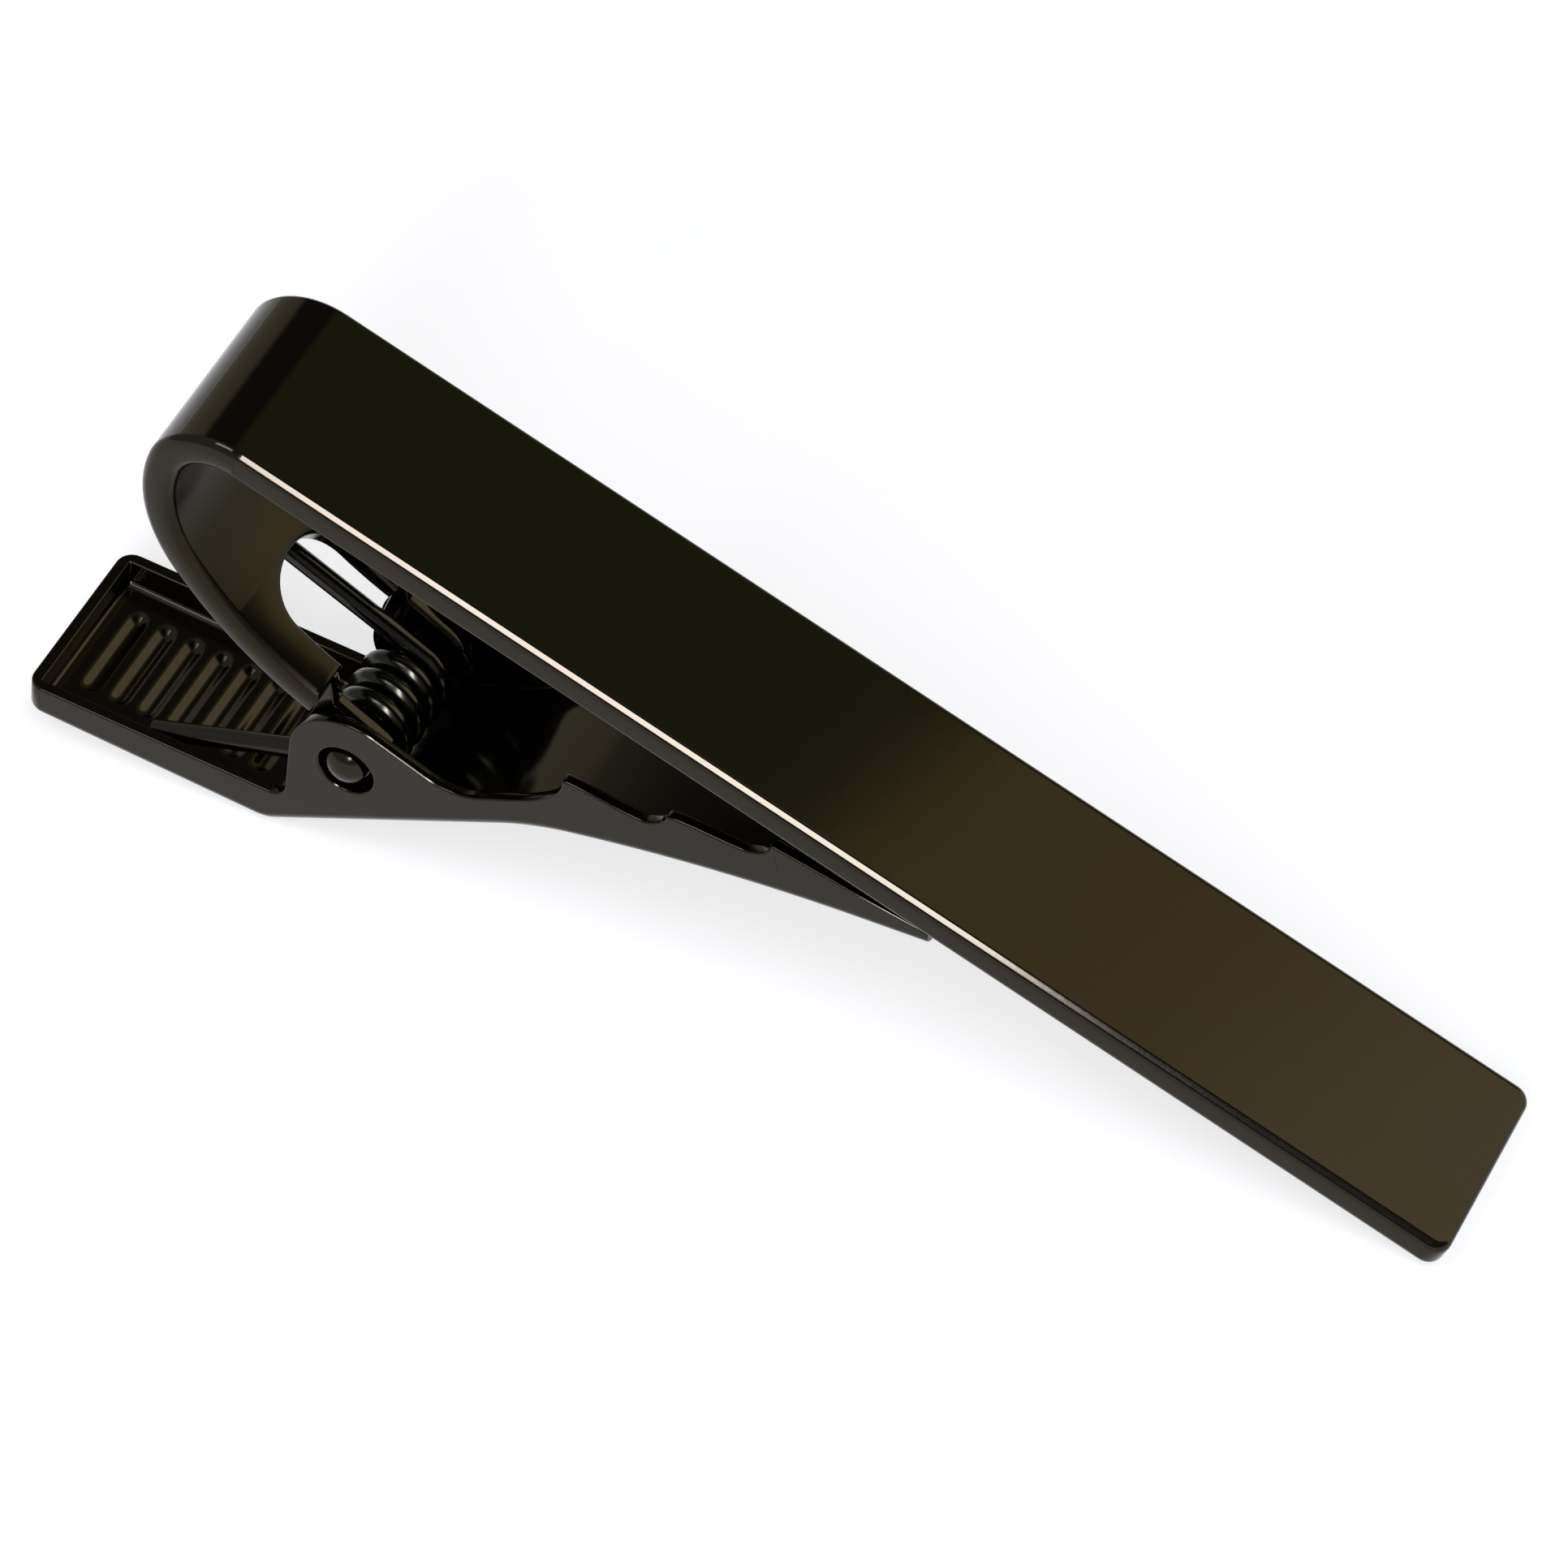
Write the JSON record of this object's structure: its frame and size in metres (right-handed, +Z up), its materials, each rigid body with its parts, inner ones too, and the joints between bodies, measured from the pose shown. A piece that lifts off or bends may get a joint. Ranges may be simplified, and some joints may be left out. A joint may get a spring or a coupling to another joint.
{
  "type": "tie bar",
  "caption": "Flat polished black tie bar, bent round into a curved back leg, with a sprung pinch clasp whose toothed jaw shuts on the back of the bar.",
  "frame": {"origin": "middle of the footprint, on the surface the tie bar lies on", "axes": "+X along the bar from its bend to its free end, +Y across the bar, +Z up off the table; the bar's front leans 22 degrees about Y"},
  "size_m": [0.043, 0.006, 0.0152],
  "materials": {
    "bar_black_nickel": "polished black nickel plate",
    "lever_black_nickel": "polished black nickel plate",
    "pin_black_nickel": "black nickel plate",
    "spring_black_steel": "blackened spring wire"
  },
  "bodies": {
    "bar": {"front_bar": "bar_black_nickel", "pivot_pin": "pin_black_nickel", "torsion_spring": "spring_black_steel"},
    "clasp": {"clasp_lever": "lever_black_nickel"}
  },
  "joints": [
    {"name": "clasp_pivot", "type": "hinge", "parent": "bar", "child": "clasp", "pos_m": [-0.01133, 0, 0.00349], "axis": [0, 1, 0], "range_deg": [0, 61], "stiffness_Nm_per_rad": 0.02, "springref_deg": -68.75, "deforming": ["torsion_spring"]}
  ]
}
